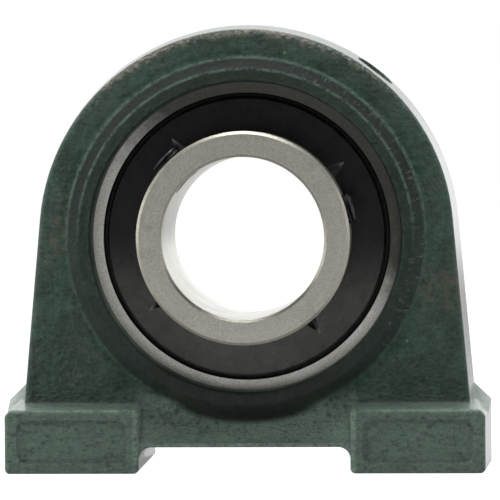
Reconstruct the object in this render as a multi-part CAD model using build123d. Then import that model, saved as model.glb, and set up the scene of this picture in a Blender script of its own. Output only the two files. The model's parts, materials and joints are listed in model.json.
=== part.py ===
from build123d import *
import math
import os

# Pillow block bearing with a tapped base, in millimetres.
#
# Frame: X runs along the base, Y along the shaft away from the front face, Z up.
# The origin is on the shaft axis, at the centre of the spherical seat.
# Every ring is drawn as a section in (radius, Y) and turned about the Y axis.

os.makedirs("parts", exist_ok=True)

# ---- sizes of the insert bearing -------------------------------------------------
SHAFT_R = 20.0                 # shaft bore
OUTER_SPHERE_R = 40.0          # spherical outside of the outer ring
OUTER_WIDTH = 21.0             # width of the outer ring
INNER_FRONT = 30.2             # inner ring, from the seat centre to its long end
INNER_WIDTH = 49.2             # whole width of the inner ring
BALL_R = 6.0
BALL_COUNT = 9
OUTER_SHOULDER = 4.2           # circle of the ball centres to the outer ring's shoulders
INNER_SHOULDER = 3.65          # that circle to the outside of the inner ring
RACE_EASE = 0.2                # cross radius of both grooves, over the ball's
BALL_CLEARANCE = 0.02          # ball to raceway, each side
RING_EASE = 0.2                # chamfer where the outer ring is counterbored
INNER_EASE = 0.7               # chamfers of the inner ring

# ---- seals, slingers and cage ----------------------------------------------------
SEAL_STEP = 1.4                # shoulder to the counterbore that holds the seal's core
CAGE_GAP = 0.3                 # seal to cage
SHEET = 0.6                    # seal core sheet
SEAL_FLANGE = 1.3              # axial length of the seal core's rolled rim
LIP_REACH = 2.55               # inner ring to the edge of the core, gripped by rubber
LIP_GRIP = 1.3                 # how far the rubber reaches over the steel
LIP_WALL = 0.5                 # rubber thickness on each side of the steel
LIP_CLEARANCE = 0.03           # seal lip to inner ring
SLINGER_GAP = 0.8              # slinger to the counterbore round it
SLINGER_PROUD = 1.4            # its front face ahead of the outer ring's
SLINGER_SHEET = 0.8
SLINGER_BEHIND = 0.6           # its turned-back rim to the seal
STAKE_ANGLES = (37.0, 127.0, 217.0, 307.0)
STAKE_LENGTH = 4.4             # staking mark, outwards from the inner ring
STAKE_WIDTH = 3.1
STAKE_DEPTH = 0.6
CAGE_SHEET = 0.8
CAGE_HALF_WIDTH = 2.4          # radial half width of the cage ribbon
POCKET_CLEARANCE = 0.1
RIVET_R = 0.9
RIVET_HEAD_R = 1.6
RIVET_HEAD = 0.6

# ---- set screws ------------------------------------------------------------------
SCREW_ANGLES = (135.0, 15.0)   # 120 degrees apart
SCREW_FROM_END = 5.0           # screw axis to the long end of the inner ring, in front
SCREW_R = 4.0                  # M8 x 1
SCREW_CLEARANCE = 0.03
SCREW_LENGTH = 8.0
SCREW_TIP_R = 2.6              # rim of the cup point
SCREW_CUP = 0.9
HEX_ACROSS = 4.0
HEX_DEPTH = 3.6
SCREW_BACK_OFF = 0.1           # tip to bore wall when backed off

# ---- lubrication -----------------------------------------------------------------
GREASE_ANGLE = 52.0            # position on the arch, from +X
GREASE_Y = -5.0                # in front of the parting plane
GREASE_R = 2.6                 # M6 x 0.75 tapping size
GREASE_MOUTH_R = 3.3           # countersink at the mouth
GREASE_TAP = 8.6               # depth of the tapped part
FEED_R = 1.6                   # smaller hole from there to the seat
SPOT_FACE_R = 5.4
SPOT_FACE_CUT = 0.9            # below the top of the arch
GROOVE_Y = -6.2                # groove round the outer ring
GROOVE_WIDTH = 1.8
GROOVE_DEPTH = 0.6
OIL_HOLE_R = 0.7
OIL_HOLES = 3

# ---- sizes of the housing --------------------------------------------------------
SEAT_CLEARANCE = 0.03          # spherical seat to outer ring
SEAT_HALF = 11.0               # half width of the spherical seat
CENTRE_HEIGHT = 58.0           # shaft axis above the base
ARCH_R = 53.0
BODY_HALF = 16.0               # half thickness of the arch
BODY_DRAFT = 5.0               # degrees, both ways from the parting plane
BODY_EDGE = 1.5                # rounding of the arch's front and rear edges
SIDE_FLARE = 5.2               # degrees, sides below the arch
BOSS_HALF = 19.0               # boss faces, front and rear
BOSS_OPENING = 0.45            # how much the bore opens from the seat to the boss face
BOSS_LAND = 2.95               # width of the boss face
BOSS_SLOPE = 3.3               # width of the slope round it
BOSS_EDGE = 0.2                # chamfer at the mouth of the bore
BOSS_ROUND = 1.0               # rounded crest of the slope
BOSS_FILLET = 1.4              # hollow at its foot
FOOT_HALF = 28.5               # half depth of the feet
FOOT_INNER = 26.1              # inside face of each foot
FOOT_OUTER = 59.3              # outside face at its front edge
FOOT_DRAFT = 1.6               # how much further it reaches at the parting plane
FOOT_HEIGHT = 15.6             # at the front edge
FOOT_RISE = 2.4                # extra height at the parting plane
FOOT_EDGE = 1.3
SHOULDER_FRONT = 1.2           # width of the sloping outer shoulder at the front edge
SHOULDER_BACK = 4.0            # and at the parting plane
SHOULDER_FALL = 1.1            # its fall for each millimetre of width
FAIRING_END = 16.6             # slope from the body's side over the foot: outer end height
FAIRING_FALL = 0.95            # its fall for each millimetre of width
FAIRING_LENGTH = 17.0          # how far it runs forwards from the parting plane
FAIRING_ROOT = 54.0            # where it starts, inside the body
CHANNEL_HEIGHT = 6.4           # clear height under the bridge between the feet
CHANNEL_FILLET = 3.0
WEB_SETBACK = 1.5              # bridge front behind the foot fronts
WEB_LIP = 1.0                  # upright edge along the bottom of the bridge
WEB_TOP = 43.6                 # where the bridge's slope leaves the body, below the axis
WEB_SAG = 1.2                  # hollow of that slope
BOLT_SPACING = 84.0
BOLT_R = 6.0                   # M14 x 2 tapping size
BOLT_DEPTH = 24.0
BOLT_MOUTH = 1.2               # countersink of the tapped holes
PANEL_MARGIN = 3.0             # shallow bare recess in the front of each foot: sides
PANEL_LOW = 2.6                # its lower edge above the base
PANEL_HIGH = 2.3               # its upper edge below the top
PANEL_CORNER = 2.2
PANEL_DEPTH = 0.7

# ---- derived sizes ---------------------------------------------------------------
INNER_REAR = INNER_WIDTH - INNER_FRONT
SCREW_Y = SCREW_FROM_END - INNER_FRONT
BASE_Z = -CENTRE_HEIGHT
OUTER_HALF = OUTER_WIDTH / 2
OUTER_FACE_R = math.sqrt(OUTER_SPHERE_R**2 - OUTER_HALF**2)
PITCH_R = (SHAFT_R + OUTER_SPHERE_R) / 2               # circle of the ball centres
OUTER_BORE_R = PITCH_R + OUTER_SHOULDER
INNER_R = PITCH_R - INNER_SHOULDER
RACE_R = BALL_R + RACE_EASE
SEAT_R = OUTER_SPHERE_R + SEAT_CLEARANCE
SEAT_EDGE_R = math.sqrt(SEAT_R**2 - SEAT_HALF**2)
BOSS_BORE_R = SEAT_EDGE_R + BOSS_OPENING
BOSS_TOP_R = BOSS_BORE_R + BOSS_LAND
BOSS_BASE_R = BOSS_TOP_R + BOSS_SLOPE
RACE_OFFSET = RACE_R - BALL_R - BALL_CLEARANCE
STEP = 360.0 / BALL_COUNT
POCKET_R = BALL_R + POCKET_CLEARANCE
FOOT_CENTRE = (FOOT_INNER + FOOT_OUTER) / 2
CORE_Y = POCKET_R + CAGE_SHEET + CAGE_GAP + LIP_WALL   # inner face of the seal core
SEAL_SEAT_Y = CORE_Y - LIP_WALL / 5                    # shoulder just behind it
SEAL_END_Y = CORE_Y + SHEET + 2 * LIP_WALL             # outermost point of its lip
SEAL_SEAT_R = OUTER_BORE_R + SEAL_STEP
LIP_R = INNER_R + LIP_REACH
SLINGER_R = SEAL_SEAT_R - SLINGER_GAP
SLINGER_FACE_Y = OUTER_HALF + SLINGER_PROUD
SLINGER_END_Y = SEAL_END_Y + SLINGER_BEHIND
PANEL_WIDTH = FOOT_OUTER - FOOT_INNER - 2 * PANEL_MARGIN
PANEL_HEIGHT = FOOT_HEIGHT - PANEL_LOW - PANEL_HIGH
BEYOND = 5.0                   # how far cutting tools run past a face


def turned(points):
    """A closed section of (radius, Y) points, turned about the shaft axis."""
    section = make_face(Polyline(*points, close=True))
    return revolve(section, axis=Axis.Y)


def turned_curve(edges):
    """A closed section of edges, turned about the shaft axis."""
    return revolve(make_face(edges), axis=Axis.Y)


def radial_plane(angle, radius, y):
    """A plane square to the radius at that angle, its normal pointing outwards."""
    turn = math.radians(angle)
    outward = (math.cos(turn), 0, math.sin(turn))
    origin = (radius * outward[0], y, radius * outward[2])
    return Plane(origin=origin, x_dir=(0, 1, 0), z_dir=outward)


def radial_cylinder(angle, y, start, end, radius):
    """A round bar along the radius, from one distance to another."""
    bar = Cylinder(radius, end - start, align=(Align.CENTER, Align.CENTER, Align.MIN))
    return radial_plane(angle, start, y) * bar


def mirrored(shape):
    """The same shape on the other side of the parting plane."""
    return mirror(shape, about=Plane.XZ)


# ---- housing ---------------------------------------------------------------------
def arch_half():
    """Front half of the arch: drafted from the parting plane, front edge rounded."""
    flare = math.radians(SIDE_FLARE)
    start = (ARCH_R * math.cos(flare), ARCH_R * math.sin(flare))
    foot_z = BASE_Z + FOOT_HEIGHT / 2
    low_x = start[0] + (start[1] - foot_z) * math.tan(flare)
    outline = [
        ThreePointArc(start, (0, ARCH_R), (-start[0], start[1])),
        Line((-start[0], start[1]), (-low_x, foot_z)),
        Line((-low_x, foot_z), (low_x, foot_z)),
        Line((low_x, foot_z), start),
    ]
    half = extrude(Plane.XZ * make_face(outline), BODY_HALF, taper=BODY_DRAFT)
    front = half.faces().sort_by(Axis.Y)[0]
    return fillet(front.edges(), BODY_EDGE)


def boss():
    """Raised ring round the seat, the same on both sides, with sloping flanks."""
    skirt = BODY_HALF - BODY_EDGE
    outside = BOSS_BASE_R + BOSS_FILLET
    section = make_face(Polyline(
        (OUTER_BORE_R, -BOSS_HALF), (BOSS_TOP_R, -BOSS_HALF),
        (BOSS_BASE_R, -BODY_HALF), (outside, -BODY_HALF), (outside, -skirt),
        (outside, skirt), (outside, BODY_HALF), (BOSS_BASE_R, BODY_HALF),
        (BOSS_TOP_R, BOSS_HALF), (OUTER_BORE_R, BOSS_HALF), close=True))
    rounds = ((BOSS_TOP_R, BOSS_ROUND), (BOSS_BASE_R, BOSS_FILLET))
    for corner_r, radius in rounds:
        corners = [v for v in section.vertices() if abs(v.X - corner_r) < BOSS_EDGE]
        section = fillet(corners, radius)
    return revolve(section, axis=Axis.Y)


def foot_half(side):
    """Front half of one foot: it narrows and drops towards its front face."""
    def section(y, outer, height, shoulder):
        plane = Plane(origin=(0, y, 0), x_dir=(1, 0, 0), z_dir=(0, -1, 0))
        top = BASE_Z + height
        return plane * make_face(Polyline(
            (side * FOOT_INNER, BASE_Z), (side * outer, BASE_Z),
            (side * outer, top - SHOULDER_FALL * shoulder),
            (side * (outer - shoulder), top), (side * FOOT_INNER, top), close=True))

    back = section(0, FOOT_OUTER + FOOT_DRAFT, FOOT_HEIGHT + FOOT_RISE, SHOULDER_BACK)
    front = section(-FOOT_HALF, FOOT_OUTER, FOOT_HEIGHT, SHOULDER_FRONT)
    block = loft([back, front], ruled=True)
    edges = [e for e in block.edges() if e.bounding_box().min.Y < -FOOT_HALF / 2]
    bottom = block.edges().group_by(Axis.Z)[0].sort_by(Axis.Y)[0]
    return fillet([e for e in edges if e.distance_to(bottom.center()) > FOOT_EDGE],
                  FOOT_EDGE)


def fairing_half(side):
    """Front half of the slope from the body's side over a foot, sinking into the foot."""
    def section(y, outer, low, high):
        plane = Plane(origin=(0, y, 0), x_dir=(1, 0, 0), z_dir=(0, -1, 0))
        return plane * make_face(Polyline(
            (side * FAIRING_ROOT, BASE_Z + 1), (side * outer, BASE_Z + 1),
            (side * outer, BASE_Z + low), (side * FAIRING_ROOT, BASE_Z + high), close=True))

    back_end = FOOT_OUTER + FOOT_DRAFT
    front_end = back_end - FOOT_DRAFT * FAIRING_LENGTH / FOOT_HALF
    high = FAIRING_END + FAIRING_FALL * (back_end - FAIRING_ROOT)
    sunk = FOOT_HEIGHT - SHOULDER_FALL * SHOULDER_BACK / 2
    back = section(0, back_end, FAIRING_END, high)
    front = section(-FAIRING_LENGTH, front_end, sunk, FOOT_HEIGHT)
    return loft([back, front], ruled=True)


def web_half():
    """Front half of the bridge between the feet, sloping out to their fronts."""
    front = -(FOOT_HALF - WEB_SETBACK)
    ceiling = BASE_Z + CHANNEL_HEIGHT
    lip = (front, ceiling + WEB_LIP)
    leave = (-BODY_HALF + BODY_EDGE, -WEB_TOP)
    middle = ((lip[0] + leave[0]) / 2 + WEB_SAG, (lip[1] + leave[1]) / 2 - WEB_SAG)
    low = ceiling - CHANNEL_FILLET
    section = make_face([
        Line((0, low), (front, low)),
        Line((front, low), lip),
        ThreePointArc(lip, middle, leave),
        Line(leave, (0, -WEB_TOP)),
        Line((0, -WEB_TOP), (0, low)),
    ])
    half_span = FOOT_INNER + FOOT_EDGE
    return extrude(Plane.YZ * section, half_span, both=True)


def channel():
    """Clear space under the bridge, rounded at its upper corners."""
    height = CHANNEL_HEIGHT + BEYOND
    centre = BASE_Z + CHANNEL_HEIGHT - height / 2
    bar = Pos(0, 0, centre) * Box(2 * FOOT_INNER, 2 * FOOT_HALF + BEYOND, height)
    upper = bar.edges().filter_by(Axis.Y).group_by(Axis.Z)[-1]
    return fillet(upper, CHANNEL_FILLET)


def seat_cut():
    """Spherical seat with a slightly opening bore on both sides of it."""
    chamfer = BOSS_HALF - BOSS_EDGE
    mouth = BOSS_BORE_R + BOSS_EDGE
    bore = turned([
        (0, -BOSS_HALF - BEYOND), (mouth, -BOSS_HALF - BEYOND),
        (mouth, -BOSS_HALF), (BOSS_BORE_R, -chamfer), (SEAT_EDGE_R, -SEAT_HALF),
        (SEAT_EDGE_R, SEAT_HALF), (BOSS_BORE_R, chamfer), (mouth, BOSS_HALF),
        (mouth, BOSS_HALF + BEYOND), (0, BOSS_HALF + BEYOND),
    ])
    return bore + Sphere(SEAT_R)


def loading_slots():
    """Notches at 3 and 9 o'clock on the rear, for swinging the insert in."""
    reach = BOSS_HALF + BEYOND
    drum = Cylinder(SEAT_R, reach, align=(Align.CENTER, Align.CENTER, Align.MIN))
    slab = Pos(0, reach / 2, 0) * Box(2 * SEAT_R + BEYOND, reach, 2 * SEAT_HALF)
    return (Rot(-90, 0, 0) * drum) & slab


def grease_hole():
    """Tapped hole with a spot face, and a smaller hole from it down to the seat."""
    spot = ARCH_R - SPOT_FACE_CUT
    inside = OUTER_SPHERE_R - BEYOND
    tap = spot - GREASE_TAP
    sink = GREASE_MOUTH_R - GREASE_R
    feed = radial_cylinder(GREASE_ANGLE, GREASE_Y, inside, spot, FEED_R)
    hole = radial_cylinder(GREASE_ANGLE, GREASE_Y, tap, spot + BEYOND, GREASE_R)
    face = radial_cylinder(GREASE_ANGLE, GREASE_Y, spot, spot + BEYOND, SPOT_FACE_R)
    mouth = Cone(GREASE_R, GREASE_MOUTH_R, sink,
                 align=(Align.CENTER, Align.CENTER, Align.MIN))
    countersink = radial_plane(GREASE_ANGLE, spot - sink, GREASE_Y) * mouth
    return feed + hole + face + countersink


def bolt_hole(x):
    """Blind tapped hole in the base, with a drill point and a countersink."""
    low = (Align.CENTER, Align.CENTER, Align.MIN)
    hole = Cylinder(BOLT_R, BOLT_DEPTH + BEYOND, align=low)
    point = Cone(BOLT_R, 0, BOLT_R / math.sqrt(3), align=low)
    mouth = Cone(BOLT_R + BOLT_MOUTH, BOLT_R, BOLT_MOUTH, align=low)
    return (Pos(x, 0, BASE_Z - BEYOND) * hole
            + Pos(x, 0, BASE_Z + BOLT_DEPTH) * point
            + Pos(x, 0, BASE_Z) * mouth)


def panel(side):
    """Shallow bare recess in the front face of a foot."""
    plane = Plane(origin=(0, -FOOT_HALF, 0), x_dir=(1, 0, 0), z_dir=(0, -1, 0))
    centre = Pos(side * FOOT_CENTRE, BASE_Z + PANEL_LOW + PANEL_HEIGHT / 2)
    sketch = RectangleRounded(PANEL_WIDTH, PANEL_HEIGHT, PANEL_CORNER)
    return extrude(plane * centre * sketch, PANEL_DEPTH, both=True)


def housing():
    half = arch_half() + web_half()
    for side in (-1, 1):
        half += foot_half(side) + fairing_half(side)
    body = half + mirrored(half) + boss()
    cuts = [seat_cut(), loading_slots(), channel(), grease_hole()]
    cuts += [bolt_hole(x) for x in (-BOLT_SPACING / 2, BOLT_SPACING / 2)]
    cuts += [panel(side) for side in (-1, 1)]
    for cut in cuts:
        body -= cut
    return body


# ---- rings -----------------------------------------------------------------------
def race(shoulder_r, outward):
    """Half width of a groove where it meets the shoulder, and its deepest radius."""
    centre_r = PITCH_R - outward * RACE_OFFSET
    half = math.sqrt(RACE_R**2 - (shoulder_r - centre_r)**2)
    return half, centre_r + outward * RACE_R


def outer_ring():
    """Outer ring: spherical outside, raceway, seal seats, grease groove and holes."""
    half, deep = race(OUTER_BORE_R, 1)
    edge = OUTER_HALF - RING_EASE
    mouth = SEAL_SEAT_R + RING_EASE
    ring = turned_curve([
        ThreePointArc((OUTER_FACE_R, -OUTER_HALF), (OUTER_SPHERE_R, 0),
                      (OUTER_FACE_R, OUTER_HALF)),
        Polyline((OUTER_FACE_R, OUTER_HALF), (mouth, OUTER_HALF), (SEAL_SEAT_R, edge),
                 (SEAL_SEAT_R, SEAL_SEAT_Y), (OUTER_BORE_R, SEAL_SEAT_Y),
                 (OUTER_BORE_R, half)),
        ThreePointArc((OUTER_BORE_R, half), (deep, 0), (OUTER_BORE_R, -half)),
        Polyline((OUTER_BORE_R, -half), (OUTER_BORE_R, -SEAL_SEAT_Y),
                 (SEAL_SEAT_R, -SEAL_SEAT_Y), (SEAL_SEAT_R, -edge),
                 (mouth, -OUTER_HALF), (OUTER_FACE_R, -OUTER_HALF)),
    ])
    groove_r = math.sqrt(OUTER_SPHERE_R**2 - GROOVE_Y**2) - GROOVE_DEPTH
    front, rear = GROOVE_Y - GROOVE_WIDTH / 2, GROOVE_Y + GROOVE_WIDTH / 2
    ring -= turned([(groove_r, front), (OUTER_SPHERE_R + BEYOND, front),
                    (OUTER_SPHERE_R + BEYOND, rear), (groove_r, rear)])
    for number in range(OIL_HOLES):
        angle = GREASE_ANGLE + number * 360 / OIL_HOLES
        ring -= radial_cylinder(angle, GROOVE_Y, PITCH_R, OUTER_SPHERE_R, OIL_HOLE_R)
    return ring


def inner_ring():
    """Inner ring: long to the front, raceway in its outside, two tapped holes."""
    half, deep = race(INNER_R, -1)
    ease = INNER_EASE
    ring = turned_curve([
        Polyline((INNER_R, -half), (INNER_R, -INNER_FRONT + ease),
                 (INNER_R - ease, -INNER_FRONT), (SHAFT_R + ease, -INNER_FRONT),
                 (SHAFT_R, -INNER_FRONT + ease), (SHAFT_R, INNER_REAR - ease),
                 (SHAFT_R + ease, INNER_REAR), (INNER_R - ease, INNER_REAR),
                 (INNER_R, INNER_REAR - ease), (INNER_R, half)),
        ThreePointArc((INNER_R, half), (deep, 0), (INNER_R, -half)),
    ])
    for angle in SCREW_ANGLES:
        ring -= radial_cylinder(angle, SCREW_Y, SHAFT_R - BEYOND, INNER_R + BEYOND,
                                SCREW_R + SCREW_CLEARANCE)
    return ring


def ball_place(number):
    """On the pitch circle, counted from the top; a half lies between two balls."""
    return Rot(0, -90 - number * STEP, 0) * Pos(PITCH_R, 0, 0)


def ball(number):
    return ball_place(number) * Sphere(BALL_R)


# ---- cage ------------------------------------------------------------------------
def cage_half(side):
    """Pressed ribbon on one side of the balls: flat lands and dished pockets."""
    low, high = PITCH_R - CAGE_HALF_WIDTH, PITCH_R + CAGE_HALF_WIDTH
    dish_r = POCKET_R + CAGE_SHEET
    land, dish = side * CAGE_SHEET, side * dish_r
    ribbon = turned([(low, land), (high, land), (high, 0), (low, 0)])
    band = turned([(low, dish), (high, dish), (high, 0), (low, 0)])
    shank = Rot(90, 0, 0) * Cylinder(RIVET_R, 4 * CAGE_SHEET)
    for number in range(BALL_COUNT):
        ribbon -= ball_place(number) * Sphere(POCKET_R)
        ribbon -= ball_place(number + 0.5) * shank
    for number in range(BALL_COUNT):
        shell = ball_place(number) * (Sphere(dish_r) - Sphere(POCKET_R))
        ribbon += shell & band
    return ribbon


def cage_rivets():
    """One rivet through both halves between each two balls, headed at both ends."""
    end = CAGE_SHEET + RIVET_HEAD
    rivet = turned([(0, -end), (RIVET_R, -end), (RIVET_HEAD_R, -CAGE_SHEET),
                    (RIVET_R, -CAGE_SHEET), (RIVET_R, CAGE_SHEET),
                    (RIVET_HEAD_R, CAGE_SHEET), (RIVET_R, end), (0, end)])
    return Compound([ball_place(number + 0.5) * rivet for number in range(BALL_COUNT)])


# ---- seals and slingers ----------------------------------------------------------
def seal_core_front():
    """Pressed steel core of the front seal, held by its rim in the outer ring."""
    inner, outer = -CORE_Y, -CORE_Y - SHEET
    rim = -CORE_Y - SEAL_FLANGE
    return turned([(LIP_R, inner), (SEAL_SEAT_R, inner), (SEAL_SEAT_R, rim),
                   (SEAL_SEAT_R - SHEET, rim), (SEAL_SEAT_R - SHEET, outer),
                   (LIP_R, outer)])


def seal_lip_front():
    """Rubber bonded round the core's inner edge, tapering to a lip."""
    inner, outer = -CORE_Y, -CORE_Y - SHEET
    tip = INNER_R + LIP_CLEARANCE
    grip = LIP_R + LIP_GRIP
    return turned([(grip, inner + LIP_WALL), (grip, inner), (LIP_R, inner),
                   (LIP_R, outer), (grip, outer), (grip, outer - LIP_WALL),
                   (LIP_R, outer - LIP_WALL), (tip, outer - 2 * LIP_WALL),
                   (tip, outer - LIP_WALL), (LIP_R - LIP_GRIP, outer),
                   (LIP_R - LIP_GRIP, inner), (tip, inner),
                   (tip, inner + LIP_WALL)])


def stake_mark(angle):
    """Three-sided dent struck into the slinger to lock it on the inner ring."""
    start = INNER_R - BEYOND / 2
    above = 2 * STAKE_DEPTH
    length = STAKE_LENGTH + INNER_R - start
    depth = STAKE_DEPTH * length / STAKE_LENGTH
    grow = (depth + above) / depth
    half = STAKE_WIDTH / 2 * length / STAKE_LENGTH * grow
    top = -SLINGER_FACE_Y - above
    left, right = (start, top, -half), (start, top, half)
    deep = (start, -SLINGER_FACE_Y + depth, 0)
    apex = (start + length * grow, top, 0)
    sides = [(left, right, deep), (left, deep, apex), (deep, right, apex),
             (right, left, apex)]
    faces = [Face(Wire.make_polygon(side, close=True)) for side in sides]
    return Rot(0, -angle, 0) * Solid(Shell(faces))


def slinger_front():
    """Pressed ring on the inner ring: collar, flat face and turned-back rim."""
    face = -SLINGER_FACE_Y
    back = face + SLINGER_SHEET
    end = -SLINGER_END_Y
    collar = INNER_R + SLINGER_SHEET
    ease = SLINGER_SHEET / 2
    ring = turned([(INNER_R, face), (SLINGER_R - ease, face), (SLINGER_R, face + ease),
                   (SLINGER_R, end), (SLINGER_R - SLINGER_SHEET, end),
                   (SLINGER_R - SLINGER_SHEET, back), (collar, back), (collar, end),
                   (INNER_R, end)])
    for angle in STAKE_ANGLES:
        ring -= stake_mark(angle)
    return ring


# ---- set screws ------------------------------------------------------------------
def set_screw(angle):
    """Headless screw with a hexagon socket outside and a cup point inside."""
    chamfer = SCREW_R - SCREW_TIP_R
    thread_r = SCREW_R
    top = SCREW_LENGTH
    ease = SCREW_R / 8
    section = make_face(Polyline(
        (0, SCREW_CUP), (SCREW_TIP_R, 0), (thread_r, chamfer), (thread_r, top - ease),
        (thread_r - ease, top), (0, top), close=True))
    screw = revolve(Plane.XZ * section, axis=Axis.Z)
    socket = RegularPolygon(HEX_ACROSS / 2, 6, major_radius=False)
    screw -= extrude(Pos(0, 0, top) * socket, -HEX_DEPTH)
    tip = SHAFT_R + SCREW_BACK_OFF
    return radial_plane(angle, tip, SCREW_Y) * screw


def save(name, shape):
    export_step(shape, os.path.join("parts", name + ".step"))


save("housing", housing())
save("outer_ring", outer_ring())
save("inner_ring", inner_ring())
for index in range(BALL_COUNT):
    save(f"ball_{index + 1}", ball(index))
save("cage_front", cage_half(-1))
save("cage_rear", cage_half(1))
save("cage_rivets", cage_rivets())
save("seal_core_front", seal_core_front())
save("seal_core_rear", mirrored(seal_core_front()))
save("seal_lip_front", seal_lip_front())
save("seal_lip_rear", mirrored(seal_lip_front()))
save("slinger_front", slinger_front())
save("slinger_rear", mirrored(slinger_front()))
for index, screw_angle in enumerate(SCREW_ANGLES):
    save(f"set_screw_{index + 1}", set_screw(screw_angle))
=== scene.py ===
# %% [markdown]
# A pillow block bearing with a tapped base
#
# The object is a green enamelled sand casting with two feet, and a ball bearing insert
# that sits in it like a ball in a socket. The shapes of the castings, rings, cage, seals
# and screws come from the CAD frame, in metres. This lesson dresses them: each finish is
# worked out from how the real surface was made, and the screw threads are cut as meshes.
# X runs along the base, Y along the shaft away from the front, and Z is up. The shaft
# axis passes through the origin, so a distance from it is a radius of the bearing.

# %% Load the frame and keep its box
import json
import math

import bmesh
import bpy
import numpy as np
from mathutils import Matrix, Vector


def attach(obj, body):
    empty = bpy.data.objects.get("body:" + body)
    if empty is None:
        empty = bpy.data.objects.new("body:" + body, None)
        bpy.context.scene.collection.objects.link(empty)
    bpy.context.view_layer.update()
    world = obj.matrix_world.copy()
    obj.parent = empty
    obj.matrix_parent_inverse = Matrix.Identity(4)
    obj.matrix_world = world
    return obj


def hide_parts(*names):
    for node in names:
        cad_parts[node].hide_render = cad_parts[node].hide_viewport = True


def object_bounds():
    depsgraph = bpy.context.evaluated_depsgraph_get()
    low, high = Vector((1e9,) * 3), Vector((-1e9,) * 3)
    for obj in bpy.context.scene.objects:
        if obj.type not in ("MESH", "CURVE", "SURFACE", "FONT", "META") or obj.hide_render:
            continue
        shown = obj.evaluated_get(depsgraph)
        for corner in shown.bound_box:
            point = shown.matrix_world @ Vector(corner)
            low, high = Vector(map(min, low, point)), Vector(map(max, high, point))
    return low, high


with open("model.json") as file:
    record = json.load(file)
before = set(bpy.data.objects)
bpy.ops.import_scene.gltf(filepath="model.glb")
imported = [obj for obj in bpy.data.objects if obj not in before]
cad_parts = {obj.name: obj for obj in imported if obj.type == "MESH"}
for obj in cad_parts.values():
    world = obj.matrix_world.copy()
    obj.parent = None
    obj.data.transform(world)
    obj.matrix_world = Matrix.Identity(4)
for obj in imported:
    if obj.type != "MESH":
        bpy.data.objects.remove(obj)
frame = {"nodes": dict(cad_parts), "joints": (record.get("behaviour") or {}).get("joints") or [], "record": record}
cad_box = [list(corner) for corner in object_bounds()]
nodes = frame["nodes"]

# %% [markdown]
# Finishes and threads have to meet the shapes at the right places. The places could be
# typed in again, but the frame's record already states the bores and bolt holes, so the
# main landmarks are read from it. Finishes count in millimetres, because their masks
# follow features of that size.

# %% Landmarks from the frame, in millimetres
MM = 0.001
mounts = {mount["name"]: mount for mount in frame["record"]["mounts"]}
SHAFT_R = mounts["shaft_bore"]["dims"]["r_mm"]
BASE_Z = cad_box[0][2] / MM
BOLT_X = mounts["base_bolts"]["dims"]["spacing_x_mm"] / 2
BOLT_R = mounts["base_bolts"]["dims"]["hole_r_mm"]
print("shaft", SHAFT_R, "base", round(BASE_Z, 3), "bolts at", BOLT_X, "radius", BOLT_R)

# %% [markdown]
# A finish is a graph of shader nodes. It could be drawn by hand in the shader editor,
# but a script can be read and repeated. One short helper adds a node, so that a finish
# reads as a list of what it does: a socket given as a value is wired, and anything else
# is set on the new node's socket.


# %% Helpers: nodes and groups
def feed(tree, sockets, values):
    """Wire each value that is a socket, and set each other one as the default."""
    for key, value in values.items():
        if isinstance(value, bpy.types.NodeSocket):
            tree.links.new(value, sockets[key])
        else:
            sockets[key].default_value = value


def put(tree, kind, values=None, **options):
    """Add a shader node, set its options, and set or wire its input sockets."""
    node = tree.nodes.new("ShaderNode" + kind)
    for name, value in options.items():
        setattr(node, name, value)
    feed(tree, node.inputs, values or {})
    return node


def new_group(name, inputs, outputs):
    """An empty shader node group with named sockets; inputs hold (name, type, default)."""
    tree = bpy.data.node_groups.new(name, "ShaderNodeTree")
    for label, kind, default in inputs:
        socket = tree.interface.new_socket(label, in_out="INPUT", socket_type="NodeSocket" + kind)
        if default is not None:
            socket.default_value = default
    for label, kind in outputs:
        tree.interface.new_socket(label, in_out="OUTPUT", socket_type="NodeSocket" + kind)
    return tree, tree.nodes.new("NodeGroupInput").outputs, tree.nodes.new("NodeGroupOutput").inputs


def use_group(tree, group, values):
    """Place a group in a material with its own values."""
    node = tree.nodes.new("ShaderNodeGroup")
    node.node_tree = group
    feed(tree, node.inputs, values)
    return node.outputs


def new_material(name):
    """A material with an empty Principled shader, its tree, and the shader's sockets."""
    material = bpy.data.materials.new(name)
    material.use_nodes = True
    tree = material.node_tree
    return material, tree, tree.nodes["Principled BSDF"].inputs


print("node helpers ready")

# %% [markdown]
# A finish is mostly arithmetic on masks, which are values from 0 to 1 over the surface.
# A mask could be painted as a texture, but a computed one stays sharp from any distance
# and needs no unwrapping.


# %% Helpers: arithmetic on masks and colours
def maths(tree, operation, a, b=0.0):
    """One Math node: a and b are numbers or sockets."""
    return put(tree, "Math", {0: a, 1: b}, operation=operation).outputs[0]


def product(tree, *values):
    """All the values multiplied together."""
    total = values[0]
    for value in values[1:]:
        total = maths(tree, "MULTIPLY", total, value)
    return total


def largest(tree, *values):
    """The largest of the values."""
    top = values[0]
    for value in values[1:]:
        top = maths(tree, "MAXIMUM", top, value)
    return top


def ramp(tree, value, low, high, start=0.0, end=1.0):
    """Smooth step from start to end while value goes from low to high."""
    node = put(tree, "MapRange", {"Value": value, "From Min": low, "From Max": high,
                                  "To Min": start, "To Max": end},
               interpolation_type="SMOOTHSTEP")
    return node.outputs["Result"]


def within(tree, value, low, high, soft):
    """1 where value lies between low and high, falling to 0 over a soft margin."""
    up = ramp(tree, value, low - soft, low)
    down = ramp(tree, value, high, high + soft, 1.0, 0.0)
    return product(tree, up, down)


def blend_colour(tree, share, a, b):
    """Colour a where share is 0, colour b where it is 1."""
    return put(tree, "Mix", {0: share, 6: a, 7: b}, data_type="RGBA").outputs[2]


def tinted(tree, colour, by, mode="MULTIPLY"):
    """A colour multiplied by another one, or added to it."""
    return put(tree, "MixRGB", {0: 1.0, 1: colour, 2: by}, blend_type=mode).outputs[0]


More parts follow.
